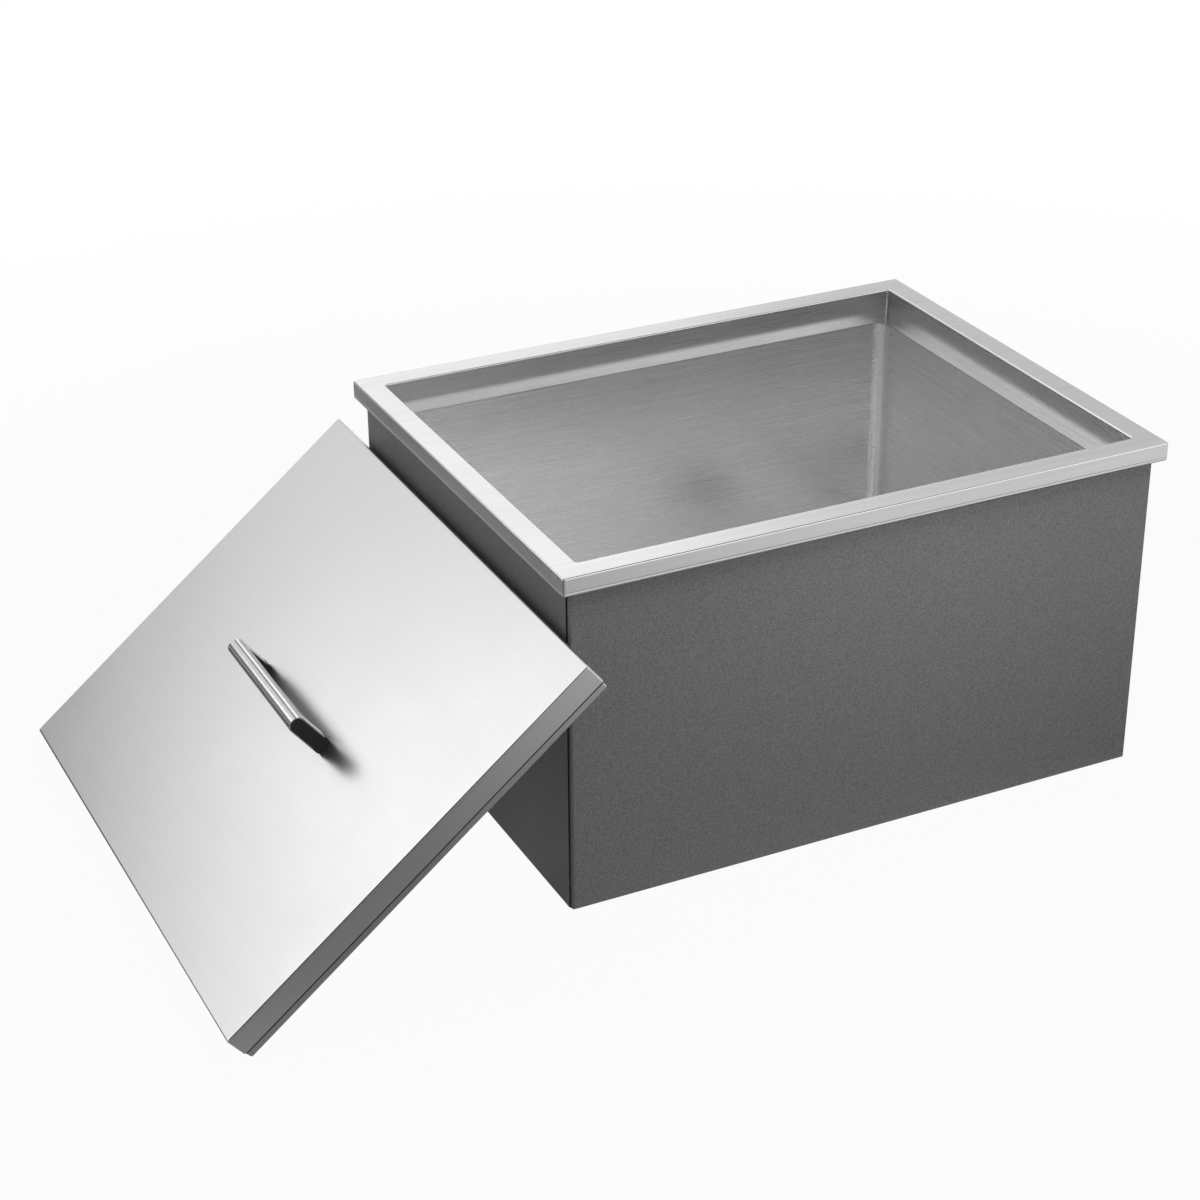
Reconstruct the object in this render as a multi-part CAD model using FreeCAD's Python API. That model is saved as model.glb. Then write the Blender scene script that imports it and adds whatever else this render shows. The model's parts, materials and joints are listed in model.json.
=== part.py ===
import FreeCAD, Part
import math
import os

from FreeCAD import Matrix, Vector

# A drop-in ice bin: an insulated stainless tub hung in a folded rim, inside a coated sheet casing,
# with its loose insulated lid leaning against the left side. Millimetres, +Z up, the front faces -Y.
# The origin is the middle of the bin's base. Bend radii are measured on the inside of the sheet.

# Rim
RIM_LENGTH = 559.0
RIM_WIDTH = 432.0
BIN_HEIGHT = 305.0
RIM_FLANGE = 22.0
RIM_SKIRT = 14.0
RIM_OVERHANG = 8.0
RIM_CORNER_R = 1.5
RECESS_DEPTH = 26.0
RECESS_CORNER_R = 2.0
LEDGE_WIDTH = 12.0
STEEL = 1.0
FOLD_R = 0.5

# Tub
TUB_LIP = 9.0
TUB_CORNER_R = 14.0
TUB_COVE_R = 10.0
FLOOR_MARGIN = 6.0
FLOOR_FALL = 6.0
SUMP_MARGIN = 3.0
SUMP_DEPTH = 4.0

# Casing
CASE_STEEL = 0.8
CASE_BEND_R = 2.2
CASE_RETURN = 18.0
CASE_SEAM = 1.2
BASE_FLANGE = 16.0
BASE_FLANGE_RELIEF = 6.0
BASE_BOARD_T = 28.2

# Drain
DRAIN_INSET = 95.5
DRAIN_BORE_R = 16.5
DRAIN_STEM_WALL = 3.5
DRAIN_FLANGE_WIDTH = 14.0
DRAIN_FLANGE_T = 2.0
DRAIN_CHAMFER = 1.0
SEAL_T = 1.5
SEAL_INSET = 1.5
WASHER_T = 2.0
WASHER_WIDTH = 11.0
NUT_T = 8.0
NUT_WALL = 7.0
NUT_GAP = 2.0
SOCKET_WALL = 4.9
SOCKET_FLANGE_WIDTH = 6.0
SOCKET_FLANGE_T = 2.2
SOCKET_GRIP = 6.0
SOCKET_GAP = 0.5
OUTLET_R = 12.1
OUTLET_CHAMFER = 0.5
STRAINER_T = 1.0
STRAINER_HOLE_R = 3.0
STRAINER_EDGE = 2.5
STRAINER_HOLES = 8
THREAD_CLEARANCE = 0.1
BORE_CLEARANCE = 0.3

# Stopper
STOPPER_LAP = 4.5
STOPPER_T = 3.0
STOPPER_BEVEL = 1.0
STOPPER_PLUG = 10.0
STOPPER_CLEARANCE = 0.4
STOPPER_TAPER = 0.8
KNOB_R = 7.0
KNOB_STEM_R = 3.0
KNOB_STEM_LENGTH = 6.0
KNOB_HEIGHT = 9.0
KNOB_BEVEL = 3.0
KNOB_DEPTH = 5.0

# Lid
LID_CLEARANCE = 1.5
LID_THICKNESS = 28.0
LID_CORNER_R = 1.0
LID_JOINT = 2.0
PAN_INSET = 1.0
PAN_WALL = 6.0
PAN_BEND_R = 0.5
PAN_CORNER_R = 1.0
PAN_UPSTAND = 14.0
LID_SEAL_T = 1.0
LID_SEAL_HEIGHT = 10.0

# Handle
HANDLE_LENGTH = 145.0
HANDLE_WIDTH = 14.0
HANDLE_HEIGHT = 41.0
HANDLE_GRIP = 9.0
HANDLE_LEG = 12.0
HANDLE_BEND_R = 5.5
HANDLE_WINDOW_R = 3.0
HANDLE_SLEEVE_T = 1.0
HANDLE_FOOT = 8.0
HANDLE_FOOT_R = 3.0
HANDLE_OFFSET = 13.0
INSERT_R = 3.0
INSERT_LENGTH = 12.0
SCREW_R = 2.0
SCREW_HEAD_R = 3.5
SCREW_HEAD_T = 2.6
SCREW_WASHER_R = 5.0
SCREW_WASHER_T = 1.0
BACKING_LENGTH = 170.0
BACKING_WIDTH = 36.0
BACKING_CORNER_R = 9.0
BACKING_T = 2.0
POCKET_CLEARANCE = 0.3

# How the lid leans on the left side of the bin
LEAN_ANGLE = 39.2
LEAN_GAP = 0.3
LEAN_SHIFT_Y = -22.0

# Heights, from the base up to the tub's floor and down from the rim
BOARD_TOP_Z = CASE_STEEL + BASE_BOARD_T
NUT_Z = BOARD_TOP_Z + NUT_GAP
SOCKET_TOP_Z = NUT_Z - SOCKET_GAP
STEM_END_Z = SOCKET_TOP_Z - SOCKET_GRIP
WASHER_Z = NUT_Z + NUT_T
SUMP_Z = WASHER_Z + WASHER_T + STEEL
DRAIN_FLANGE_Z = SUMP_Z + SEAL_T
DRAIN_TOP_Z = DRAIN_FLANGE_Z + DRAIN_FLANGE_T
STOPPER_TOP_Z = DRAIN_TOP_Z + STOPPER_T
FLOOR_LOW_Z = SUMP_Z + SUMP_DEPTH
FLOOR_EDGE_Z = FLOOR_LOW_Z + FLOOR_FALL
LEDGE_Z = BIN_HEIGHT - RECESS_DEPTH
TUB_TOP_Z = LEDGE_Z - STEEL
CASE_TOP_Z = BIN_HEIGHT - STEEL
SKIRT_Z = BIN_HEIGHT - RIM_SKIRT

# Plan sizes of the bin
OPENING_LENGTH = RIM_LENGTH - 2 * RIM_FLANGE
OPENING_WIDTH = RIM_WIDTH - 2 * RIM_FLANGE
TUB_LENGTH = OPENING_LENGTH - 2 * LEDGE_WIDTH
TUB_WIDTH = OPENING_WIDTH - 2 * LEDGE_WIDTH
DRAIN_X = TUB_LENGTH / 2 - DRAIN_INSET
CASE_LENGTH = RIM_LENGTH - 2 * RIM_OVERHANG
CASE_WIDTH = RIM_WIDTH - 2 * RIM_OVERHANG
INSIDE_LENGTH = CASE_LENGTH - 2 * CASE_STEEL
INSIDE_WIDTH = CASE_WIDTH - 2 * CASE_STEEL
CASE_EDGE_R = CASE_BEND_R + CASE_STEEL

# Radii about the drain's axis
DRAIN_STEM_R = DRAIN_BORE_R + DRAIN_STEM_WALL
DRAIN_FLANGE_R = DRAIN_STEM_R + DRAIN_FLANGE_WIDTH
SUMP_R = DRAIN_FLANGE_R + SUMP_MARGIN
SOCKET_BORE_R = DRAIN_STEM_R + THREAD_CLEARANCE
SOCKET_R = SOCKET_BORE_R + SOCKET_WALL
SOCKET_FLANGE_R = SOCKET_R + SOCKET_FLANGE_WIDTH
WASHER_R = DRAIN_STEM_R + WASHER_WIDTH
NUT_CORNER_R = (DRAIN_STEM_R + NUT_WALL) * 2 / math.sqrt(3)

# Sizes of the lid, in its own frame
LID_LENGTH = OPENING_LENGTH - 2 * LID_CLEARANCE
LID_WIDTH = OPENING_WIDTH - 2 * LID_CLEARANCE
LID_SKIRT_Z = PAN_WALL + LID_JOINT
LID_INSIDE_Z = LID_THICKNESS - STEEL
PAN_LENGTH = LID_LENGTH - 2 * PAN_INSET
PAN_WIDTH = LID_WIDTH - 2 * PAN_INSET
PAN_EDGE_R = PAN_BEND_R + STEEL
UPSTAND_LENGTH = LID_LENGTH - 2 * (STEEL + LID_SEAL_T)
UPSTAND_WIDTH = LID_WIDTH - 2 * (STEEL + LID_SEAL_T)
LEG_SPACING = HANDLE_LENGTH - HANDLE_LEG
LEG_PLACES = (HANDLE_OFFSET - LEG_SPACING / 2, HANDLE_OFFSET + LEG_SPACING / 2)
SLEEVE_Z = LID_THICKNESS + HANDLE_FOOT
INSERT_TOP_Z = LID_THICKNESS + INSERT_LENGTH
BACKING_Z = LID_INSIDE_Z - BACKING_T
WASHER_FACE_Z = BACKING_Z - SCREW_WASHER_T
SCREW_HEAD_Z = WASHER_FACE_Z - SCREW_HEAD_T
SCREW_HOLE_R = SCREW_R + BORE_CLEARANCE


def rounded_rectangle(length, width, radius, z, x=0.0):
    """Closed wire of a level rectangle with round corners, centred on x."""
    arcs = []
    for turn, sx, sy in ((0, 1, 1), (90, -1, 1), (180, -1, -1), (270, 1, -1)):
        middle = Vector(x + sx * (length / 2 - radius), sy * (width / 2 - radius), z)
        arcs.append(Part.makeCircle(radius, middle, Vector(0, 0, 1), turn, turn + 90))
    edges = []
    for arc, following in zip(arcs, arcs[1:] + arcs[:1]):
        side = Part.makeLine(arc.Vertexes[-1].Point, following.Vertexes[0].Point)
        edges += [arc, side]
    return Part.Wire(edges)


def slab(length, width, radius, low, high, x=0.0):
    """Upright prism of a rounded rectangle between two heights."""
    return Part.Face(rounded_rectangle(length, width, radius, low, x)).extrude(Vector(0, 0, high - low))


def block(x, y, z):
    """Square-edged prism from three (low, high) pairs."""
    return Part.makeBox(x[1] - x[0], y[1] - y[0], z[1] - z[0], Vector(x[0], y[0], z[0]))


def disc(radius, low, high, x=0.0, y=0.0):
    """Upright cylinder between two heights."""
    return Part.makeCylinder(radius, high - low, Vector(x, y, low))


def turned(points):
    """Solid of revolution about the drain's axis, from (radius, height) points."""
    outline = [Vector(DRAIN_X + r, 0, z) for r, z in points]
    face = Part.Face(Part.makePolygon(outline + outline[:1]))
    return face.revolve(Vector(DRAIN_X, 0, 0), Vector(0, 0, 1), 360)


def ring(inner, outer, low, high):
    """Flat ring about the drain's axis."""
    return turned([(inner, low), (outer, low), (outer, high), (inner, high)])


def level_edges(shape, z, length=math.inf, width=math.inf):
    """Edges that lie level at one height, within a centred rectangle."""
    near = 1e-4
    found = []
    for edge in shape.Edges:
        bounds = edge.BoundBox
        level = abs(bounds.ZMin - z) < near and abs(bounds.ZMax - z) < near
        inside_x = max(-bounds.XMin, bounds.XMax) < length / 2 + near
        inside_y = max(-bounds.YMin, bounds.YMax) < width / 2 + near
        if level and inside_x and inside_y:
            found.append(edge)
    return found


def rim_frame():
    """Flange, skirt with its turned-in lip, recess wall and ledge, folded from one sheet."""
    outer_fold = FOLD_R + STEEL
    outside = slab(RIM_LENGTH, RIM_WIDTH, RIM_CORNER_R + STEEL, SKIRT_Z, BIN_HEIGHT)
    folds = level_edges(outside, BIN_HEIGHT) + level_edges(outside, SKIRT_Z)
    outside = outside.makeFillet(outer_fold, folds)
    inner_length = RIM_LENGTH - 2 * STEEL
    inner_width = RIM_WIDTH - 2 * STEEL
    hollow = slab(inner_length, inner_width, RIM_CORNER_R, SKIRT_Z + STEEL, CASE_TOP_Z)
    half_length = CASE_LENGTH / 2
    half_width = CASE_WIDTH / 2
    casing = block((-half_length, half_length), (-half_width, half_width), (SKIRT_Z, CASE_TOP_Z))
    wall_r = RECESS_CORNER_R + STEEL
    wall = slab(OPENING_LENGTH + 2 * STEEL, OPENING_WIDTH + 2 * STEEL, wall_r, TUB_TOP_Z, BIN_HEIGHT)
    recess = slab(OPENING_LENGTH, OPENING_WIDTH, RECESS_CORNER_R, LEDGE_Z, BIN_HEIGHT)
    well = slab(TUB_LENGTH, TUB_WIDTH, TUB_CORNER_R, TUB_TOP_Z, LEDGE_Z)
    frame = outside.cut(hollow).cut(casing).fuse(wall).cut(recess).cut(well).removeSplitter()
    mouth = level_edges(frame, BIN_HEIGHT, OPENING_LENGTH, OPENING_WIDTH)
    return frame.makeFillet(outer_fold, mouth)


def frustum(bottom, top):
    """Solid with flat sloping sides between two level rectangles, each (length, width, z, x)."""
    rings = []
    for length, width, z, x in (bottom, top):
        signs = ((1, 1), (-1, 1), (-1, -1), (1, -1))
        rings.append([Vector(x + sx * length / 2, sy * width / 2, z) for sx, sy in signs])
    low, high = rings
    outlines = [low, high]
    for here in range(4):
        after = (here + 1) % 4
        outlines.append([low[here], low[after], high[after], high[here]])
    faces = [Part.Face(Part.makePolygon(points + points[:1])) for points in outlines]
    return Part.Solid(Part.Shell(faces))


def tub_form(wall):
    """Solid form of the tub: its inside with no wall, its outside with the sheet's thickness."""
    floor_z = FLOOR_EDGE_Z - wall
    low_z = FLOOR_LOW_Z - wall
    walls = slab(TUB_LENGTH + 2 * wall, TUB_WIDTH + 2 * wall, TUB_CORNER_R + wall, floor_z, TUB_TOP_Z)
    walls = walls.makeFillet(TUB_COVE_R + wall, level_edges(walls, floor_z))
    margin = 2 * (TUB_COVE_R + FLOOR_MARGIN)
    sump_side = 2 * (SUMP_R + FLOOR_MARGIN)
    fall = frustum(
        (sump_side, sump_side, low_z, DRAIN_X),
        (TUB_LENGTH - margin, TUB_WIDTH - margin, floor_z, 0.0),
    )
    return walls.fuse([fall, disc(SUMP_R + wall, SUMP_Z - wall, low_z, DRAIN_X)])


def tub_outside():
    """The space that the tub takes up in the insulation, lip included."""
    lip_length = TUB_LENGTH + 2 * TUB_LIP
    lip_width = TUB_WIDTH + 2 * TUB_LIP
    lip = slab(lip_length, lip_width, TUB_CORNER_R, TUB_TOP_Z - STEEL, TUB_TOP_Z)
    return tub_form(STEEL).fuse(lip)


def ice_tub():
    """Welded tub with round corners, a floor pitched to the drain and a lip under the ledge."""
    drain_hole = disc(DRAIN_STEM_R + BORE_CLEARANCE, SUMP_Z - STEEL, SUMP_Z, DRAIN_X)
    return tub_outside().cut(tub_form(0.0)).cut(drain_hole)


def end_panel(side):
    """Front (side -1) or rear (side 1) casing panel, folded round into a return at each end."""
    length = INSIDE_LENGTH
    depth = CASE_RETURN
    thick = 2 * CASE_STEEL
    outer = slab(length, 2 * depth, CASE_EDGE_R, 0, CASE_TOP_Z)
    inner = slab(length - thick, 2 * depth - thick, CASE_BEND_R, 0, CASE_TOP_Z)
    far_half = block((-length, length), (0, depth), (0, CASE_TOP_Z))
    over_base = block((-length, length), (CASE_STEEL - depth, 0), (0, CASE_STEEL))
    panel = outer.cut(inner).cut(far_half).cut(over_base)
    panel.translate(Vector(0, depth - CASE_WIDTH / 2, 0))
    if side > 0:
        panel = panel.mirror(Vector(0, 0, 0), Vector(0, 1, 0))
    return panel


def side_panel(side):
    """Left (side -1) or right (side 1) casing panel, flat, lapped over the end panels' returns."""
    reach = CASE_WIDTH / 2 - CASE_EDGE_R - CASE_SEAM
    across = sorted((side * INSIDE_LENGTH / 2, side * CASE_LENGTH / 2))
    return block(across, (-reach, reach), (0, CASE_TOP_Z))


def base_pan():
    """Bottom sheet with an upturned flange on each side, cut back at the corners."""
    a = INSIDE_LENGTH / 2
    b = INSIDE_WIDTH / 2
    pan = slab(2 * a, 2 * b, CASE_BEND_R, 0, CASE_STEEL)
    relief = CASE_RETURN + BASE_FLANGE_RELIEF
    height = (CASE_STEEL, BASE_FLANGE)
    for side in (-1, 1):
        end = sorted((side * a, side * (a - CASE_STEEL)))
        edge = sorted((side * b, side * (b - CASE_STEEL)))
        pan = pan.fuse(block(end, (relief - b, b - relief), height))
        pan = pan.fuse(block((relief - a, a - relief), edge, height))
    return pan.cut(disc(SOCKET_R + BORE_CLEARANCE, 0, CASE_STEEL, DRAIN_X))


def base_insulation():
    """Board on the base pan, between its flanges, bored for the drain socket."""
    edge = 2 * CASE_STEEL
    board = slab(INSIDE_LENGTH - edge, INSIDE_WIDTH - edge, CASE_EDGE_R, CASE_STEEL, BOARD_TOP_Z)
    bore = disc(SOCKET_R + BORE_CLEARANCE, CASE_STEEL, BOARD_TOP_Z, DRAIN_X)
    pocket_top = CASE_STEEL + SOCKET_FLANGE_T + POCKET_CLEARANCE
    pocket = disc(SOCKET_FLANGE_R + BORE_CLEARANCE, CASE_STEEL, pocket_top, DRAIN_X)
    return board.cut(bore).cut(pocket)


def wall_insulation():
    """Foam poured between the tub and the casing, from the base board up to the ledge."""
    length = INSIDE_LENGTH
    between_returns = slab(length - 2 * CASE_STEEL, INSIDE_WIDTH, CASE_BEND_R, BOARD_TOP_Z, TUB_TOP_Z)
    reach = CASE_WIDTH / 2 - CASE_RETURN
    past_returns = block((-length / 2, length / 2), (-reach, reach), (BOARD_TOP_Z, TUB_TOP_Z))
    foam = between_returns.fuse(past_returns).removeSplitter().cut(tub_outside())
    pocket_r = max(NUT_CORNER_R, WASHER_R) + BORE_CLEARANCE
    return foam.cut(disc(pocket_r, BOARD_TOP_Z, SUMP_Z - STEEL, DRAIN_X))


def drain_flange():
    """Flange with its threaded stem and a chamfered mouth for the stopper."""
    outline = [
        (DRAIN_BORE_R, STEM_END_Z),
        (DRAIN_STEM_R, STEM_END_Z),
        (DRAIN_STEM_R, DRAIN_FLANGE_Z),
        (DRAIN_FLANGE_R, DRAIN_FLANGE_Z),
        (DRAIN_FLANGE_R, DRAIN_TOP_Z - DRAIN_CHAMFER),
        (DRAIN_FLANGE_R - DRAIN_CHAMFER, DRAIN_TOP_Z),
        (DRAIN_BORE_R + DRAIN_CHAMFER, DRAIN_TOP_Z),
        (DRAIN_BORE_R, DRAIN_TOP_Z - DRAIN_CHAMFER),
    ]
    return turned(outline)


def drain_seal():
    """Rubber seal between the drain flange and the sump."""
    return ring(DRAIN_STEM_R + BORE_CLEARANCE, DRAIN_FLANGE_R - SEAL_INSET, SUMP_Z, DRAIN_FLANGE_Z)


def drain_washer():
    """Fibre washer between the sump and the back nut."""
    return ring(DRAIN_STEM_R + BORE_CLEARANCE, WASHER_R, WASHER_Z, SUMP_Z - STEEL)


def drain_nut():
    """Hexagon back nut on the stem."""
    corners = []
    for step in range(7):
        angle = math.radians(60 * step)
        x = DRAIN_X + NUT_CORNER_R * math.cos(angle)
        corners.append(Vector(x, NUT_CORNER_R * math.sin(angle), NUT_Z))
    hexagon = Part.Face(Part.makePolygon(corners)).extrude(Vector(0, 0, NUT_T))
    return hexagon.cut(disc(DRAIN_STEM_R + THREAD_CLEARANCE, NUT_Z, WASHER_Z, DRAIN_X))


def drain_socket():
    """Socket screwed on the stem, with the outlet thread's bore open at the base."""
    flange_top = CASE_STEEL + SOCKET_FLANGE_T
    outline = [
        (OUTLET_R + OUTLET_CHAMFER, 0),
        (SOCKET_R, 0),
        (SOCKET_R, CASE_STEEL),
        (SOCKET_FLANGE_R, CASE_STEEL),
        (SOCKET_FLANGE_R, flange_top),
        (SOCKET_R, flange_top),
        (SOCKET_R, SOCKET_TOP_Z),
        (SOCKET_BORE_R, SOCKET_TOP_Z),
        (SOCKET_BORE_R, STEM_END_Z),
        (OUTLET_R, STEM_END_Z),
        (OUTLET_R, OUTLET_CHAMFER),
    ]
    return turned(outline)


def drain_strainer():
    """Perforated disc that lies on the socket's shoulder, inside the stem."""
    radius = DRAIN_BORE_R - BORE_CLEARANCE
    top = STEM_END_Z + STRAINER_T
    ring_r = radius - STRAINER_EDGE - STRAINER_HOLE_R
    holes = [disc(STRAINER_HOLE_R, STEM_END_Z, top, DRAIN_X)]
    for step in range(STRAINER_HOLES):
        angle = 2 * math.pi * step / STRAINER_HOLES
        x = DRAIN_X + ring_r * math.cos(angle)
        holes.append(disc(STRAINER_HOLE_R, STEM_END_Z, top, x, ring_r * math.sin(angle)))
    return disc(radius, STEM_END_Z, top, DRAIN_X).cut(holes)


def drain_stopper():
    """Rubber stopper: a disc on the drain flange and a tapered plug in its bore."""
    plug_r = DRAIN_BORE_R - STOPPER_CLEARANCE
    disc_r = DRAIN_BORE_R + STOPPER_LAP
    plug_z = DRAIN_TOP_Z - STOPPER_PLUG
    outline = [
        (0, plug_z),
        (plug_r - STOPPER_TAPER, plug_z),
        (plug_r, DRAIN_TOP_Z),
        (disc_r, DRAIN_TOP_Z),
        (disc_r, STOPPER_TOP_Z - STOPPER_BEVEL),
        (disc_r - STOPPER_BEVEL, STOPPER_TOP_Z),
        (KNOB_STEM_R, STOPPER_TOP_Z),
        (KNOB_STEM_R, STOPPER_TOP_Z - KNOB_DEPTH),
        (0, STOPPER_TOP_Z - KNOB_DEPTH),
    ]
    return turned(outline)


def stopper_knob():
    """Stainless pull knob pushed into the stopper."""
    neck = STOPPER_TOP_Z + KNOB_STEM_LENGTH
    top = neck + KNOB_HEIGHT
    outline = [
        (0, STOPPER_TOP_Z - KNOB_DEPTH),
        (KNOB_STEM_R, STOPPER_TOP_Z - KNOB_DEPTH),
        (KNOB_STEM_R, neck),
        (KNOB_R, neck + KNOB_BEVEL),
        (KNOB_R, top - KNOB_BEVEL),
        (KNOB_R - KNOB_BEVEL, top),
        (0, top),
    ]
    return turned(outline)


def lid_top_panel():
    """The lid's face and its folded skirt."""
    outside = slab(LID_LENGTH, LID_WIDTH, LID_CORNER_R + STEEL, LID_SKIRT_Z, LID_THICKNESS)
    outside = outside.makeFillet(FOLD_R + STEEL, level_edges(outside, LID_THICKNESS))
    inner_length = LID_LENGTH - 2 * STEEL
    inner_width = LID_WIDTH - 2 * STEEL
    inside = slab(inner_length, inner_width, LID_CORNER_R, LID_SKIRT_Z, LID_INSIDE_Z)
    holes = [disc(SCREW_HOLE_R, LID_INSIDE_Z, LID_THICKNESS, x) for x in LEG_PLACES]
    return outside.cut(inside).cut(holes)


def lid_bottom_pan():
    """Shallow pan under the lid, stepped in to stand inside the skirt."""
    thick = 2 * STEEL
    step_z = PAN_WALL - STEEL
    upstand_top = PAN_WALL + PAN_UPSTAND
    tray = slab(PAN_LENGTH, PAN_WIDTH, PAN_CORNER_R + STEEL, 0, PAN_WALL)
    tray = tray.makeFillet(PAN_EDGE_R, level_edges(tray, 0))
    hollow = slab(PAN_LENGTH - thick, PAN_WIDTH - thick, PAN_CORNER_R, STEEL, step_z)
    upstand = slab(UPSTAND_LENGTH, UPSTAND_WIDTH, LID_CORNER_R + STEEL, step_z, upstand_top)
    well = slab(UPSTAND_LENGTH - thick, UPSTAND_WIDTH - thick, LID_CORNER_R, step_z, upstand_top)
    return tray.fuse(upstand).cut(hollow).cut(well).removeSplitter()


def lid_edge_seal():
    """Dark sealing strip between the lid's skirt and the pan's upstand."""
    top = PAN_WALL + LID_SEAL_HEIGHT
    outside = slab(LID_LENGTH - 2 * STEEL, LID_WIDTH - 2 * STEEL, LID_CORNER_R, PAN_WALL, top)
    return outside.cut(slab(UPSTAND_LENGTH, UPSTAND_WIDTH, LID_CORNER_R + STEEL, PAN_WALL, top))


def lid_insulation():
    """Foam slab between the two lid sheets, with room for the handle's fixings."""
    thick = 2 * STEEL
    foam = slab(UPSTAND_LENGTH - thick, UPSTAND_WIDTH - thick, LID_CORNER_R, STEEL, LID_INSIDE_Z)
    half_width = BACKING_WIDTH / 2 + POCKET_CLEARANCE
    half_length = BACKING_LENGTH / 2 + POCKET_CLEARANCE
    along = (HANDLE_OFFSET - half_length, HANDLE_OFFSET + half_length)
    pockets = [block(along, (-half_width, half_width), (BACKING_Z, LID_INSIDE_Z))]
    for x in LEG_PLACES:
        pockets.append(disc(SCREW_WASHER_R + POCKET_CLEARANCE, SCREW_HEAD_Z, BACKING_Z, x))
    return foam.cut(pockets)


def handle_form(inset):
    """The handle's arched section above its feet, drawn in by an inset, run along its whole length."""
    x = HANDLE_OFFSET - HANDLE_LENGTH / 2
    half = HANDLE_WIDTH / 2 - inset
    top = LID_THICKNESS + HANDLE_HEIGHT - inset
    radius = HANDLE_BEND_R + HANDLE_SLEEVE_T - inset
    foot = [Vector(x, side * half, SLEEVE_Z) for side in (-1, 1)]
    shoulder = [Vector(x, side * half, top - radius) for side in (-1, 1)]
    crown = [Vector(x, side * (half - radius), top) for side in (-1, 1)]
    lift = radius * math.sqrt(0.5)
    bend = [Vector(x, side * (half - radius + lift), top - radius + lift) for side in (-1, 1)]
    edges = [
        Part.makeLine(foot[0], shoulder[0]),
        Part.Arc(shoulder[0], bend[0], crown[0]).toShape(),
        Part.makeLine(crown[0], crown[1]),
        Part.Arc(crown[1], bend[1], shoulder[1]).toShape(),
        Part.makeLine(shoulder[1], foot[1]),
        Part.makeLine(foot[1], foot[0]),
    ]
    return Part.Face(Part.Wire(edges)).extrude(Vector(HANDLE_LENGTH, 0, 0))


def handle_foot():
    """The full-width foot under the sleeve, rounded where it meets the lid."""
    along = (HANDLE_OFFSET - HANDLE_LENGTH / 2, HANDLE_OFFSET + HANDLE_LENGTH / 2)
    half = HANDLE_WIDTH / 2
    foot = block(along, (-half, half), (LID_THICKNESS, SLEEVE_Z))
    sides = [e for e in level_edges(foot, LID_THICKNESS) if e.BoundBox.XLength > e.BoundBox.YLength]
    return foot.makeFillet(HANDLE_FOOT_R, sides)


def finger_window():
    """The gap under the grip, with round upper corners."""
    half = HANDLE_LENGTH / 2 - HANDLE_LEG
    top = LID_THICKNESS + HANDLE_HEIGHT - HANDLE_GRIP
    along = (HANDLE_OFFSET - half, HANDLE_OFFSET + half)
    window = block(along, (-HANDLE_WIDTH, HANDLE_WIDTH), (LID_THICKNESS, top))
    corners = [e for e in level_edges(window, top) if e.BoundBox.XLength < e.BoundBox.YLength]
    return window.makeFillet(HANDLE_WINDOW_R, corners)


def handle_sleeve():
    """Brushed sleeve over the top and sides of the handle."""
    return handle_form(0.0).cut(handle_form(HANDLE_SLEEVE_T)).cut(finger_window())


def handle_core():
    """Black moulded bridge inside the sleeve and its feet, bored for the threaded inserts."""
    core = handle_form(HANDLE_SLEEVE_T).fuse(handle_foot()).removeSplitter().cut(finger_window())
    return core.cut([disc(INSERT_R, LID_THICKNESS, INSERT_TOP_Z, x) for x in LEG_PLACES])


def handle_inserts():
    """Threaded brass inserts in the handle's legs."""
    bore_r = SCREW_R + THREAD_CLEARANCE
    inserts = []
    for x in LEG_PLACES:
        bore = disc(bore_r, LID_THICKNESS, INSERT_TOP_Z, x)
        inserts.append(disc(INSERT_R, LID_THICKNESS, INSERT_TOP_Z, x).cut(bore))
    return Part.makeCompound(inserts)


def handle_screws():
    """Cheese-head screws from inside the lid up into the inserts."""
    screws = []
    for x in LEG_PLACES:
        head = disc(SCREW_HEAD_R, SCREW_HEAD_Z, WASHER_FACE_Z, x)
        screws.append(head.fuse(disc(SCREW_R, WASHER_FACE_Z, INSERT_TOP_Z, x)))
    return Part.makeCompound(screws)


def handle_washers():
    """Washers under the screw heads."""
    washers = []
    for x in LEG_PLACES:
        hole = disc(SCREW_HOLE_R, WASHER_FACE_Z, BACKING_Z, x)
        washers.append(disc(SCREW_WASHER_R, WASHER_FACE_Z, BACKING_Z, x).cut(hole))
    return Part.makeCompound(washers)


def handle_backing_plate():
    """Stiffening plate under the lid's face, behind the handle."""
    plate = slab(BACKING_LENGTH, BACKING_WIDTH, BACKING_CORNER_R, BACKING_Z, LID_INSIDE_Z, HANDLE_OFFSET)
    return plate.cut([disc(SCREW_HOLE_R, BACKING_Z, LID_INSIDE_Z, x) for x in LEG_PLACES])


def lean(shape):
    """Turn a lid piece from its own frame to where the lid leans on the bin's left side.

    In the lid's own frame X runs along its length, Z is up through its face and the origin is
    under its middle. Leaning, its length lies along -Y, and the round lower edges of its pan
    stand on the floor and lie against the left casing panel.
    """
    angle = math.radians(LEAN_ANGLE)
    along = Vector(0, -1, 0)
    slope = Vector(math.cos(angle), 0, math.sin(angle))
    normal = Vector(-math.sin(angle), 0, math.cos(angle))
    half = PAN_WIDTH / 2 - PAN_EDGE_R
    upper_x = -CASE_LENGTH / 2 - LEAN_GAP - PAN_EDGE_R
    lower_edge = Vector(upper_x - 2 * half * slope.x, LEAN_SHIFT_Y, PAN_EDGE_R)
    middle = lower_edge + slope * half - normal * PAN_EDGE_R
    place = Matrix(
        along.x, slope.x, normal.x, middle.x,
        along.y, slope.y, normal.y, middle.y,
        along.z, slope.z, normal.z, middle.z,
        0, 0, 0, 1,
    )
    leaning = shape.copy()
    leaning.Placement = FreeCAD.Placement(place)
    return leaning


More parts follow.
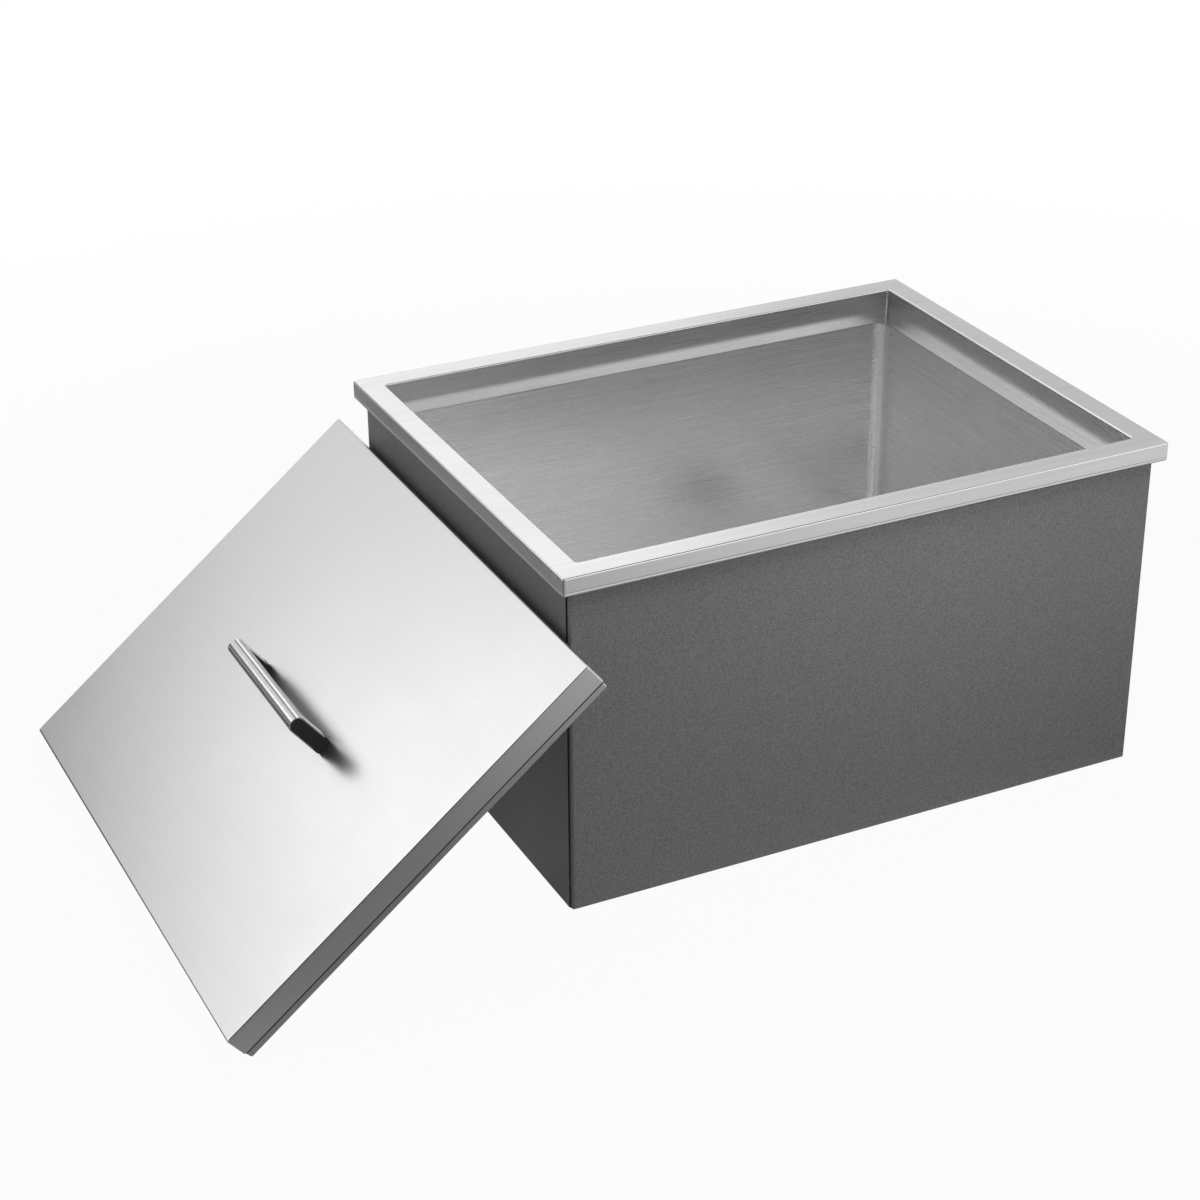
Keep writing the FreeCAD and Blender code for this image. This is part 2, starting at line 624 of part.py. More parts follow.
pieces = {
    "rim_frame": rim_frame(),
    "ice_tub": ice_tub(),
    "front_panel": end_panel(-1),
    "rear_panel": end_panel(1),
    "left_panel": side_panel(-1),
    "right_panel": side_panel(1),
    "base_pan": base_pan(),
    "base_insulation": base_insulation(),
    "wall_insulation": wall_insulation(),
    "drain_flange": drain_flange(),
    "drain_seal": drain_seal(),
    "drain_washer": drain_washer(),
    "drain_nut": drain_nut(),
    "drain_socket": drain_socket(),
    "drain_strainer": drain_strainer(),
    "drain_stopper": drain_stopper(),
    "stopper_knob": stopper_knob(),
    "lid_top_panel": lean(lid_top_panel()),
    "lid_bottom_pan": lean(lid_bottom_pan()),
    "lid_edge_seal": lean(lid_edge_seal()),
    "lid_insulation": lean(lid_insulation()),
    "handle_sleeve": lean(handle_sleeve()),
    "handle_core": lean(handle_core()),
    "handle_inserts": lean(handle_inserts()),
    "handle_screws": lean(handle_screws()),
    "handle_washers": lean(handle_washers()),
    "handle_backing_plate": lean(handle_backing_plate()),
}

os.makedirs("parts", exist_ok=True)
for name, shape in pieces.items():
    shape.exportStep(f"parts/{name}.step")
    print(f"{name:22s} solids {len(shape.Solids)} valid {shape.isValid()} volume {shape.Volume:12.1f}")
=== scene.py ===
"""Looks of the drop-in ice bin: finishes for each piece, the studio it stands in and the camera."""

import json
import math

import bpy
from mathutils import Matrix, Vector


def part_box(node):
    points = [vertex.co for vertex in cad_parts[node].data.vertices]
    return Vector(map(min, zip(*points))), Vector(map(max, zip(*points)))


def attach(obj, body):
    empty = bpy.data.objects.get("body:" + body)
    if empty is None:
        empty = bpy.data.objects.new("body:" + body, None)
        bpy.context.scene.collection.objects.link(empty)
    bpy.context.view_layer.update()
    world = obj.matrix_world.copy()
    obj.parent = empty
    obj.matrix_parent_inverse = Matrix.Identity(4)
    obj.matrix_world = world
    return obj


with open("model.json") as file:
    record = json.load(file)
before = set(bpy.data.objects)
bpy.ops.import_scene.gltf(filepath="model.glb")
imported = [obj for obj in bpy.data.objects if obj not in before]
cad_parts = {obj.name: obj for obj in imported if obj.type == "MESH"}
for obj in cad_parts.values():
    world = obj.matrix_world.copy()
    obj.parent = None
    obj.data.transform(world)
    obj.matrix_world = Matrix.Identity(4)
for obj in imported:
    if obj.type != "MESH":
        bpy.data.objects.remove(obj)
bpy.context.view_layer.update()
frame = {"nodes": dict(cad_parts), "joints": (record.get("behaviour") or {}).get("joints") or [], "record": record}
nodes = frame["nodes"]


def named(items, name):
    """The item of a list that has this name."""
    return next(item for item in items if item["name"] == name)


# Places on the bin, in metres, read from its own pieces and mounts
rim_low, rim_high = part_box("rim_frame")
tub_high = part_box("ice_tub")[1]
front_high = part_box("front_panel")[1]
side_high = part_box("right_panel")[1]
flange_low, flange_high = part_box("drain_flange")
socket_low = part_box("drain_socket")[0]
knob_low, knob_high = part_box("stopper_knob")
panel_low, panel_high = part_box("lid_top_panel")
mounts = frame["record"]["mounts"]
SKIRT_Z = named(mounts, "counter_rim")["pos_m"][2]
OUTLET_RADIUS = named(mounts, "drain_outlet")["dims"]["r_mm"] / 1000
DRAIN_X = (flange_low.x + flange_high.x) / 2

# The rim's flange and outer corners, and the thin skin under its top that counts as the top face
FLANGE_WIDTH = 0.022
RIM_CORNER_RADIUS = 0.0025
TOP_SKIN = 0.0003

# The closed seam at the skirt's corners: where it is dark and faded, its depth and its drop from the top
CORNER_SEAM_DARK = 0.0003
CORNER_SEAM_FADED = 0.0006
CORNER_SEAM_DEPTH = 0.004
CORNER_SEAM_DROP = 0.0008

# The rolled hem along the skirt's lower edge: half its thickness and height, and how far it hangs below
HEM_HALF_THICKNESS = 0.0008
HEM_HALF_HEIGHT = 0.0016
HEM_DROP = 0.002

# Folded edges of the rim and the lid: their radius, and the share of the roughness that is left on them
FOLD_RADIUS = 0.0015
FOLD_SHINE = 0.3

# The leaning lid: the way it lifts, the way up its slope, and half its length, width and thickness
LID_OUT = Vector(named(frame["joints"], "lid_lift")["axis"])
LID_UP = Vector((LID_OUT.z, 0.0, -LID_OUT.x))
LID_ALONG = Vector((0.0, 1.0, 0.0))
LID_MIDDLE = (panel_low + panel_high) / 2
panel_span = (panel_high - panel_low) / 2
slope_squares = LID_UP.x ** 2 - LID_UP.z ** 2
LID_HALF_LENGTH = panel_span.y
LID_HALF_WIDTH = (panel_span.x * LID_UP.x - panel_span.z * LID_UP.z) / slope_squares
LID_HALF_THICKNESS = (panel_span.z * LID_UP.x - panel_span.x * LID_UP.z) / slope_squares

# Where the tub's pitched floor ends and its walls begin, above the drain's flange
FLOOR_RISE = 0.018
FLOOR_TOP = flange_high.z + FLOOR_RISE

# Casing corner seams with painted shade in them: the front's return, the side sheets' ends, the bend past them,
# the shade's reach
RETURN_X = front_high.x
SIDE_END_Y = side_high.y
BEND_OFFSET = 0.0016
SEAM_REACH = 0.0003

# Grip ribs of the stopper's knob, and how far they lie below its top
KNOB_RADIUS = (knob_high.x - knob_low.x) / 2
GRIP_DROP = 0.0045
RIB_COUNT = 24
RIB_HALF_LENGTH = 0.0018
RIB_THICKNESS = 0.0012

# The thread inside the outlet, and how far up the socket it starts
THREAD_START = 0.002
THREAD_LENGTH = 0.0165
THREAD_TURNS = 9.0
THREAD_RIDGE = 0.0007

# Most values of a noise lie between these two
NOISE_LOW = 0.3
NOISE_HIGH = 0.7

# Wiped clouds: their fineness, the noise value where they start, and how much rougher they leave metal
HAZE_FINENESS = 9.0
HAZE_START = 0.35
HAZE_ROUGHNESS = 0.03

# Brushed metal: its streaks as a share of its lines' fineness, the lines' depth, and a seam's shade
STREAK_SHARE = 0.12
LINE_DEPTH = 0.00004
SEAM_SHADE = 0.05

# Pebbled skins: a pebble's share of the height, its light middle and dark edge, and the painted shade in the gaps
PEBBLE_SHARE = -0.5
PEBBLE_MIDDLE = 0.1
PEBBLE_EDGE = 0.65
PAINTED_GAP_SHADE = 0.004

# Studio: the world's level as a light, and the shade of the floor's paper
WORLD_LEVEL = 0.38
PAPER_SHADE = 0.2

# Camera: lens and sensor in millimetres, place in metres and turns in degrees
CAMERA_LENS = 80.25
CAMERA_SENSOR = 36.0
CAMERA_PLACE = (-1.0355, -1.8386, 1.2186)
CAMERA_TURNS = (62.52, 0.324, -26.049)


# Helpers for node trees; a socket whose name has no kind here takes a plain number
SOCKET_KINDS = {
    "Place": "NodeSocketVector",
    "Count": "NodeSocketInt",
    "Geometry": "NodeSocketGeometry",
}


def put(tree, kind, inputs=None, **settings):
    """Add a node, with its settings, and with values or links for its named inputs."""
    made = tree.nodes.new(kind)
    for name, value in settings.items():
        setattr(made, name, value)
    for key, value in (inputs or {}).items():
        if isinstance(value, bpy.types.NodeSocket):
            tree.links.new(value, made.inputs[key])
        else:
            made.inputs[key].default_value = value
    return made


def add_sockets(tree, way, labels):
    """Add named sockets to a tree, on its way in or out."""
    for label in labels:
        kind = SOCKET_KINDS.get(label, "NodeSocketFloat")
        tree.interface.new_socket(label, in_out=way, socket_type=kind)


def work_out(tree, operation, *values):
    """One step of arithmetic on values or links."""
    return put(tree, "ShaderNodeMath", dict(enumerate(values)), operation=operation).outputs[0]


def both(tree, first, second):
    """One where two masks are one."""
    return work_out(tree, "MULTIPLY", first, second)


def apart(tree, first, second):
    """How far two values lie apart."""
    return work_out(tree, "ABSOLUTE", work_out(tree, "SUBTRACT", first, second))


def inset(tree, half, value):
    """How far a value lies inside its limits, which are the same either way."""
    return work_out(tree, "SUBTRACT", half, work_out(tree, "ABSOLUTE", value))


def along(tree, place, way):
    """How far a place lies along a way."""
    return put(tree, "ShaderNodeVectorMath", {0: place, 1: way}, operation="DOT_PRODUCT").outputs["Value"]


def length(tree, place):
    """How far a place lies from its origin."""
    return put(tree, "ShaderNodeVectorMath", {0: place}, operation="LENGTH").outputs["Value"]


def spread(tree, value, low, high, new_low, new_high):
    """Map one range on another, and hold it at the ends."""
    inputs = {"Value": value, "From Min": low, "From Max": high, "To Min": new_low, "To Max": new_high}
    return put(tree, "ShaderNodeMapRange", inputs).outputs["Result"]


# A Mix node's names repeat for each kind of value, so its sockets go by number

def blend_colours(tree, share, first, second):
    """A colour between two others."""
    inputs = {0: share, 6: first, 7: second}
    return put(tree, "ShaderNodeMix", inputs, data_type="RGBA").outputs[2]


def blend_places(tree, share, first, second):
    """A place between two others."""
    inputs = {0: share, 4: first, 5: second}
    return put(tree, "ShaderNodeMix", inputs, data_type="VECTOR").outputs[1]


def grey(level):
    """A neutral colour."""
    return (level, level, level, 1.0)


def object_place(tree):
    """The place of a point on the piece, in metres."""
    return put(tree, "ShaderNodeTexCoord").outputs["Object"]


def parts_of(tree, place):
    """The X, Y and Z of a place."""
    return put(tree, "ShaderNodeSeparateXYZ", {0: place}).outputs


def place_of(tree, x=0.0, y=0.0, z=0.0):
    """A place from its X, Y and Z."""
    return put(tree, "ShaderNodeCombineXYZ", {0: x, 1: y, 2: z}).outputs[0]


def swapped(tree, place):
    """The same place with X and Y changed over, so that a grain along X runs along Y."""
    x, y, z = parts_of(tree, place)
    return place_of(tree, y, x, z)


# Patterns that more than one finish uses, or that follow the sheet metal

def new_group(name, inputs, outputs):
    """An empty shader node group with named sockets: the tree, what it is given and its result."""
    tree = bpy.data.node_groups.new(name, "ShaderNodeTree")
    add_sockets(tree, "INPUT", inputs)
    add_sockets(tree, "OUTPUT", outputs)
    return tree, tree.nodes.new("NodeGroupInput").outputs, tree.nodes.new("NodeGroupOutput").inputs


def brush_lines():
    """Fine lines and broad streaks that run along the X of the place they are given."""
    tree, given, result = new_group("brush lines", ["Place", "Fineness", "Stretch"], ["Lines", "Streaks"])
    x, y, z = parts_of(tree, given["Place"])
    place = place_of(tree, work_out(tree, "MULTIPLY", x, given["Stretch"]), y, z)
    fine = put(tree, "ShaderNodeTexNoise", {"Vector": place, "Scale": given["Fineness"], "Detail": 2.0})
    broad_scale = work_out(tree, "MULTIPLY", given["Fineness"], STREAK_SHARE)
    broad = put(tree, "ShaderNodeTexNoise", {"Vector": place, "Scale": broad_scale, "Detail": 3.0})
    tree.links.new(fine.outputs[0], result["Lines"])
    tree.links.new(broad.outputs[0], result["Streaks"])
    return tree


def handling_haze():
    """Soft clouds left by wiping and handling."""
    tree, given, result = new_group("handling haze", ["Place", "Fineness"], ["Haze"])
    inputs = {"Vector": given["Place"], "Scale": given["Fineness"], "Detail": 4.0, "Distortion": 0.6}
    clouds = put(tree, "ShaderNodeTexNoise", inputs).outputs[0]
    tree.links.new(spread(tree, clouds, HAZE_START, NOISE_HIGH, 0.0, 1.0), result["Haze"])
    return tree


def fine_grain():
    """Pebbled skin of a powder coat or a moulding: its height and a speckle of lighter and darker spots."""
    tree, given, result = new_group("fine grain", ["Place", "Fineness"], ["Height", "Speckle"])
    inputs = {"Vector": given["Place"], "Scale": given["Fineness"]}
    pebbles = put(tree, "ShaderNodeTexVoronoi", inputs).outputs["Distance"]
    rough = put(tree, "ShaderNodeTexNoise", {**inputs, "Detail": 3.0, "Roughness": 0.6}).outputs[0]
    domes = work_out(tree, "MULTIPLY", pebbles, PEBBLE_SHARE)
    tree.links.new(work_out(tree, "ADD", rough, domes), result["Height"])
    tree.links.new(spread(tree, pebbles, PEBBLE_MIDDLE, PEBBLE_EDGE, 1.0, 0.0), result["Speckle"])
    return tree


def mitred_place():
    """Turn the grain along the nearer pair of sides of a rectangle, with mitres at its corners."""
    sizes = ["Half length", "Half width"]
    tree, given, result = new_group("mitred place", sizes, ["Place", "Corner", "Edge"])
    place = object_place(tree)
    parts = parts_of(tree, place)
    end = inset(tree, given["Half length"], parts[0])
    side = inset(tree, given["Half width"], parts[1])
    on_end = work_out(tree, "LESS_THAN", end, side)
    tree.links.new(blend_places(tree, on_end, place, swapped(tree, place)), result["Place"])
    tree.links.new(apart(tree, end, side), result["Corner"])
    tree.links.new(work_out(tree, "MINIMUM", end, side), result["Edge"])
    return tree


def casing_seam_shade():
    """Where shade is painted: one in the narrow gaps where the casing's sheets meet, and nothing on their faces.
    """
    tree, given, result = new_group("casing seam shade", ["Reach"], ["Gap"])
    parts = parts_of(tree, object_place(tree))
    x = work_out(tree, "ABSOLUTE", parts[0])
    y = work_out(tree, "ABSOLUTE", parts[1])
    on_return = work_out(tree, "LESS_THAN", apart(tree, x, RETURN_X), given["Reach"])
    behind_bend = work_out(tree, "LESS_THAN", y, SIDE_END_Y + BEND_OFFSET)
    on_end = work_out(tree, "LESS_THAN", apart(tree, y, SIDE_END_Y), given["Reach"])
    painted_shade = work_out(tree, "MAXIMUM", both(tree, on_return, behind_bend), on_end)
    tree.links.new(painted_shade, result["Gap"])
    return tree


def folded_edges():
    """One on the folds round the lid's face, and nothing on its flats."""
    tree, given, result = new_group("folded edges", ["Radius"], ["Fold"])
    inputs = {0: object_place(tree), 1: LID_MIDDLE}
    place = put(tree, "ShaderNodeVectorMath", inputs, operation="SUBTRACT").outputs[0]
    off_side = inset(tree, LID_HALF_WIDTH, along(tree, place, LID_UP))
    off_end = inset(tree, LID_HALF_LENGTH, along(tree, place, LID_ALONG))
    off_edge = work_out(tree, "MINIMUM", off_side, off_end)
    depth = work_out(tree, "SUBTRACT", LID_HALF_THICKNESS, along(tree, place, LID_OUT))
    by_edge = work_out(tree, "LESS_THAN", off_edge, given["Radius"])
    by_face = work_out(tree, "LESS_THAN", depth, given["Radius"])
    tree.links.new(both(tree, by_edge, by_face), result["Fold"])
    return tree


BRUSH_LINES = brush_lines()
HANDLING_HAZE = handling_haze()
FINE_GRAIN = fine_grain()
MITRED_PLACE = mitred_place()
CASING_SEAM_SHADE = casing_seam_shade()
FOLDED_EDGES = folded_edges()


# Finishes

def use(tree, group, inputs):
    """Place a shader node group in a material."""
    return put(tree, "ShaderNodeGroup", inputs, node_tree=group).outputs


def new_material(name):
    """A material with one Principled shader: the material, its tree and the shader."""
    made = bpy.data.materials.new(name)
    made.use_nodes = True
    return made, made.node_tree, made.node_tree.nodes["Principled BSDF"]


def bump(tree, shader, height, strength, distance):
    """Raise the surface by a height."""
    made = put(tree, "ShaderNodeBump", {"Height": height, "Strength": strength, "Distance": distance})
    tree.links.new(made.outputs[0], shader.inputs["Normal"])


def brushed(material, place, dark, light, smooth, rough, fineness=2200.0, stretch=0.006, lift=0.12,
            seam=None, fold=None):
    """Brushed metal, its grain along the X of the place, with a dark seam and bright folds if asked for."""
    made, tree, shader = material
    lines = use(tree, BRUSH_LINES, {"Place": place, "Fineness": fineness, "Stretch": stretch})
    haze = use(tree, HANDLING_HAZE, {"Place": object_place(tree), "Fineness": HAZE_FINENESS})["Haze"]
    shade = spread(tree, lines["Streaks"], NOISE_LOW, NOISE_HIGH, 0.0, 1.0)
    colour = blend_colours(tree, shade, dark, light)
    if seam is not None:
        colour = blend_colours(tree, seam, colour, grey(SEAM_SHADE))
    tree.links.new(colour, shader.inputs["Base Color"])
    worn = spread(tree, lines["Lines"], NOISE_LOW, NOISE_HIGH, smooth, rough)
    worn = work_out(tree, "MULTIPLY_ADD", haze, HAZE_ROUGHNESS, worn)
    if fold is not None:
        worn = work_out(tree, "MULTIPLY", worn, spread(tree, fold, 0.0, 1.0, 1.0, FOLD_SHINE))
    tree.links.new(worn, shader.inputs["Roughness"])
    bump(tree, shader, lines["Lines"], lift, LINE_DEPTH)
    shader.inputs["Metallic"].default_value = 1.0
    return made


def grained(material, dark, light, smooth, rough, fineness, strength, depth=0.0002, painted_shade=None):
    """A coat or moulding with a fine pebbled skin, and painted shade near black where a mask of it is given."""
    made, tree, shader = material
    place = object_place(tree)
    skin = use(tree, FINE_GRAIN, {"Place": place, "Fineness": fineness})
    haze = use(tree, HANDLING_HAZE, {"Place": place, "Fineness": HAZE_FINENESS})["Haze"]
    colour = blend_colours(tree, skin["Speckle"], dark, light)
    # Painted shade: the colour turns near black where the mask says shadow falls
    if painted_shade is not None:
        colour = blend_colours(tree, painted_shade, colour, grey(PAINTED_GAP_SHADE))
    tree.links.new(colour, shader.inputs["Base Color"])
    tree.links.new(spread(tree, haze, 0.0, 1.0, smooth, rough), shader.inputs["Roughness"])
    bump(tree, shader, skin["Height"], strength, depth)
    return made


def rim_steel():
    """The rim: brushed along X on top and along each side below, with a seam at the skirt's corners."""
    material = new_material("rim_steel")
    tree = material[1]
    sides = use(tree, MITRED_PLACE, {"Half length": rim_high.x, "Half width": rim_high.y})
    place = object_place(tree)
    height = parts_of(tree, place)[2]
    on_top = work_out(tree, "GREATER_THAN", height, rim_high.z - TOP_SKIN)
    grain = blend_places(tree, on_top, sides["Place"], place)
    at_corner = spread(tree, sides["Corner"], CORNER_SEAM_DARK, CORNER_SEAM_FADED, 1.0, 0.0)
    outside = work_out(tree, "LESS_THAN", sides["Edge"], CORNER_SEAM_DEPTH)
    below = work_out(tree, "LESS_THAN", height, rim_high.z - CORNER_SEAM_DROP)
    seam = both(tree, at_corner, both(tree, outside, below))
    off_middle = apart(tree, sides["Edge"], FLANGE_WIDTH / 2)
    by_edge = work_out(tree, "GREATER_THAN", off_middle, FLANGE_WIDTH / 2 - FOLD_RADIUS)
    by_top = work_out(tree, "GREATER_THAN", height, rim_high.z - FOLD_RADIUS)
    fold = both(tree, by_edge, by_top)
    return brushed(material, grain, grey(0.57), grey(0.61), smooth=0.24, rough=0.34, lift=0.08,
                   seam=seam, fold=fold)


def tub_steel():
    """The tub: brushed along its walls, and along X on its floor, in a colour lighter than the rim's same steel as
    painted light.
    """
    material = new_material("tub_steel")
    tree = material[1]
    walls = use(tree, MITRED_PLACE, {"Half length": tub_high.x, "Half width": tub_high.y})["Place"]
    place = object_place(tree)
    on_floor = work_out(tree, "LESS_THAN", parts_of(tree, place)[2], FLOOR_TOP)
    grain = blend_places(tree, on_floor, walls, place)
    # Painted light: lighter than the rim's steel, to brighten the inside of the deep tub
    return brushed(material, grain, grey(0.78), grey(0.83), smooth=0.22, rough=0.32, stretch=0.003,
                   lift=0.07)


def lid_steel():
    """The lid: satin, with a fine grain along its length."""
    material = new_material("lid_steel")
    tree = material[1]
    grain = swapped(tree, object_place(tree))
    fold = use(tree, FOLDED_EDGES, {"Radius": FOLD_RADIUS})["Fold"]
    return brushed(material, grain, grey(0.575), grey(0.585), smooth=0.27, rough=0.31, lift=0.03, fold=fold)


def pan_steel_painted_shade():
    """The lid's lower pan: the same sheet, rougher, and coloured darker than the lid as painted shade."""
    material = new_material("pan_steel_painted_shade")
    tree = material[1]
    grain = swapped(tree, object_place(tree))
    # Painted shade: a darker colour than the lid's sheet, for the shade under the lid's skirt
    return brushed(material, grain, grey(0.43), grey(0.46), smooth=0.3, rough=0.36, lift=0.03)


def handle_steel():
    """The handle's sleeve: polished round its section, which leaves fine ticks across the grip."""
    material = new_material("handle_steel")
    tree = material[1]
    grain = place_of(tree, y=parts_of(tree, object_place(tree))[1])
    return brushed(material, grain, grey(0.52), grey(0.6), smooth=0.1, rough=0.18, fineness=1500.0)


def turned_grain(tree):
    """Place for a turned finish: the grain runs in rings about the drain's axis."""
    x, y, z = parts_of(tree, object_place(tree))
    x = work_out(tree, "SUBTRACT", x, DRAIN_X)
    squares = work_out(tree, "MULTIPLY_ADD", x, x, work_out(tree, "MULTIPLY", y, y))
    return place_of(tree, y=work_out(tree, "SQRT", squares), z=z)


def drain_steel():
    """Turned stainless of the drain flange, strainer and knob."""
    material = new_material("drain_steel")
    return brushed(material, turned_grain(material[1]), grey(0.5), grey(0.62), smooth=0.16, rough=0.3)


def drain_brass():
    """Turned brass of the back nut and inserts."""
    material = new_material("drain_brass")
    dark = (0.56, 0.38, 0.13, 1.0)
    light = (0.72, 0.52, 0.22, 1.0)
    return brushed(material, turned_grain(material[1]), dark, light, smooth=0.22, rough=0.4)


def fixing_steel():
    """Plain bright steel of screws, washers and the backing plate."""
    material = new_material("fixing_steel")
    return brushed(material, object_place(material[1]), grey(0.42), grey(0.55), smooth=0.28, rough=0.45)


def casing_coat():
    """Dark grey powder coat of the casing, with painted shade near black in its corner seams."""
    material = new_material("casing_coat")
    # Painted shade in the corner seams, where the shallow gaps would be dark with shadow
    painted_shade = use(material[1], CASING_SEAM_SHADE, {"Reach": SEAM_REACH})["Gap"]
    return grained(material, grey(0.13), grey(0.215), smooth=0.52, rough=0.6, fineness=760.0,
                   strength=0.25, painted_shade=painted_shade)


def handle_black():
    """Black moulded bridge inside the handle."""
    material = new_material("handle_black")
    dark = (0.009, 0.008, 0.0085, 1.0)
    light = (0.015, 0.0135, 0.014, 1.0)
    return grained(material, dark, light, smooth=0.5, rough=0.6, fineness=1400.0, strength=0.2)


def black_rubber():
    """Black rubber of the stopper and seals."""
    material = new_material("black_rubber")
    return grained(material, grey(0.012), grey(0.022), smooth=0.6, rough=0.75, fineness=900.0, strength=0.25)


def drain_plastic():
    """Black moulding of the drain socket."""
    material = new_material("drain_plastic")
    return grained(material, grey(0.03), grey(0.04), smooth=0.38, rough=0.5, fineness=1200.0, strength=0.15)


def washer_fibre():
    """Red-brown pressed fibre."""
    material = new_material("washer_fibre")
    dark = (0.16, 0.05, 0.03, 1.0)
    light = (0.24, 0.09, 0.055, 1.0)
    return grained(material, dark, light, smooth=0.7, rough=0.85, fineness=500.0, strength=0.4, depth=0.0003)


def foam():
    """Pale rigid foam with small cells."""
    material = new_material("foam")
    dark = (0.62, 0.5, 0.25, 1.0)
    light = (0.78, 0.67, 0.4, 1.0)
    return grained(material, dark, light, smooth=0.8, rough=0.95, fineness=420.0, strength=0.6, depth=0.0008)


finishes = {
    rim_steel(): ["rim_frame"],
    tub_steel(): ["ice_tub"],
    casing_coat(): ["front_panel", "rear_panel", "left_panel", "right_panel", "base_pan"],
    foam(): ["base_insulation", "wall_insulation", "lid_insulation"],
    drain_steel(): ["drain_flange", "drain_strainer", "stopper_knob"],
    drain_brass(): ["drain_nut", "handle_inserts"],
    drain_plastic(): ["drain_socket"],
    black_rubber(): ["drain_seal", "drain_stopper", "lid_edge_seal"],
    washer_fibre(): ["drain_washer"],
    lid_steel(): ["lid_top_panel"],
    pan_steel_painted_shade(): ["lid_bottom_pan"],
    handle_steel(): ["handle_sleeve"],
    handle_black(): ["handle_core"],
    fixing_steel(): ["handle_screws", "handle_washers", "handle_backing_plate"],
}
for finish, names in finishes.items():
    for name in names:
        nodes[name].data.materials.clear()
        nodes[name].data.materials.append(finish)


# Small pieces grown by node trees

def new_object(name, data):
    """A new object in the scene."""
    made = bpy.data.objects.new(name, data)
    bpy.context.scene.collection.objects.link(made)
    return made


def new_growth(name, sizes):
    """An empty Geometry Nodes tree with named sizes and a place: the tree, its sizes and its result."""
    tree = bpy.data.node_groups.new(name, "GeometryNodeTree")
    add_sockets(tree, "INPUT", [*sizes, "Place"])
    add_sockets(tree, "OUTPUT", ["Geometry"])
    return tree, tree.nodes.new("NodeGroupInput").outputs, tree.nodes.new("NodeGroupOutput").inputs[0]


def finish_growth(tree, shape, place, finish, result):
    """End a tree: move its shape to its place, make it whole and paint it."""
    moved = put(tree, "GeometryNodeTransform", {"Geometry": shape, "Translation": place})
    whole = put(tree, "GeometryNodeRealizeInstances", {"Geometry": moved.outputs[0]})
    painted = put(tree, "GeometryNodeSetMaterial", {"Geometry": whole.outputs[0], "Material": finish})
    tree.links.new(painted.outputs[0], result)


def grow(name, tree, sizes, body):
    """Turn a tree with these sizes into a plain piece that moves with a body."""
    host = new_object(name, bpy.data.meshes.new(name))
    growth = host.modifiers.new(name, "NODES")
    growth.node_group = tree
    for item in tree.interface.items_tree:
        if item.in_out == "INPUT":
            growth[item.identifier] = sizes[item.name]
    grown = host.evaluated_get(bpy.context.evaluated_depsgraph_get())
    mesh = bpy.data.meshes.new_from_object(grown)
    host.modifiers.remove(growth)
    host.data = mesh
    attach(host, body)


def skirt_hem(finish):
    """Rolled hem round the rim: a slim bead along a rectangle with rounded corners."""
    labels = ["Length", "Width", "Corner radius", "Half thickness", "Half height"]
    tree, sizes, result = new_growth("skirt hem", labels)
    inputs = {"Width": sizes["Length"], "Height": sizes["Width"]}
    outline = put(tree, "GeometryNodeCurvePrimitiveQuadrilateral", inputs)
    inputs = {"Curve": outline.outputs[0], "Radius": sizes["Corner radius"], "Count": 6}
    rounded = put(tree, "GeometryNodeFilletCurve", inputs, mode="POLY")
    upright = put(tree, "GeometryNodeSetCurveNormal", {"Curve": rounded.outputs[0]}, mode="Z_UP")
    stretch = place_of(tree, sizes["Half thickness"], sizes["Half height"], 1.0)
    ring = put(tree, "GeometryNodeCurvePrimitiveCircle", {"Resolution": 16, "Radius": 1.0})
    section = put(tree, "GeometryNodeTransform", {"Geometry": ring.outputs[0], "Scale": stretch})
    inputs = {"Curve": upright.outputs[0], "Profile Curve": section.outputs[0]}
    swept = put(tree, "GeometryNodeCurveToMesh", inputs)
    flat = put(tree, "GeometryNodeSetShadeSmooth", {"Geometry": swept.outputs[0], "Shade Smooth": False})
    finish_growth(tree, flat.outputs[0], sizes["Place"], finish, result)
    return tree


def outlet_thread(finish):
    """Screw thread inside the drain outlet: a ridge along a helix."""
    tree, sizes, result = new_growth("outlet thread", ["Turns", "Radius", "Height", "Ridge"])
    helix = put(tree, "GeometryNodeCurveSpiral", {
        "Resolution": 40, "Rotations": sizes["Turns"], "Start Radius": sizes["Radius"],
        "End Radius": sizes["Radius"], "Height": sizes["Height"],
    })
    upright = put(tree, "GeometryNodeSetCurveNormal", {"Curve": helix.outputs[0]}, mode="Z_UP")
    ridge = put(tree, "GeometryNodeCurvePrimitiveCircle", {"Resolution": 4, "Radius": sizes["Ridge"]})
    inputs = {"Curve": upright.outputs[0], "Profile Curve": ridge.outputs[0], "Fill Caps": True}
    swept = put(tree, "GeometryNodeCurveToMesh", inputs)
    finish_growth(tree, swept.outputs[0], sizes["Place"], finish, result)
    return tree


def knob_ribs(finish):
    """Grip ribs round the stopper's knob."""
    tree, sizes, result = new_growth("knob ribs", ["Count", "Radius", "Half length", "Thickness"])
    ring = put(tree, "GeometryNodeMeshCircle", {"Vertices": sizes["Count"], "Radius": sizes["Radius"]})
    half = work_out(tree, "MULTIPLY", sizes["Thickness"], 0.5)
    stretch = place_of(tree, half, half, sizes["Half length"])
    ball = put(tree, "GeometryNodeMeshUVSphere", {"Segments": 10, "Rings": 8, "Radius": 1.0})
    rib = put(tree, "GeometryNodeTransform", {"Geometry": ball.outputs[0], "Scale": stretch})
    ribs = put(tree, "GeometryNodeInstanceOnPoints", {"Points": ring.outputs[0], "Instance": rib.outputs[0]})
    finish_growth(tree, ribs.outputs[0], sizes["Place"], finish, result)
    return tree


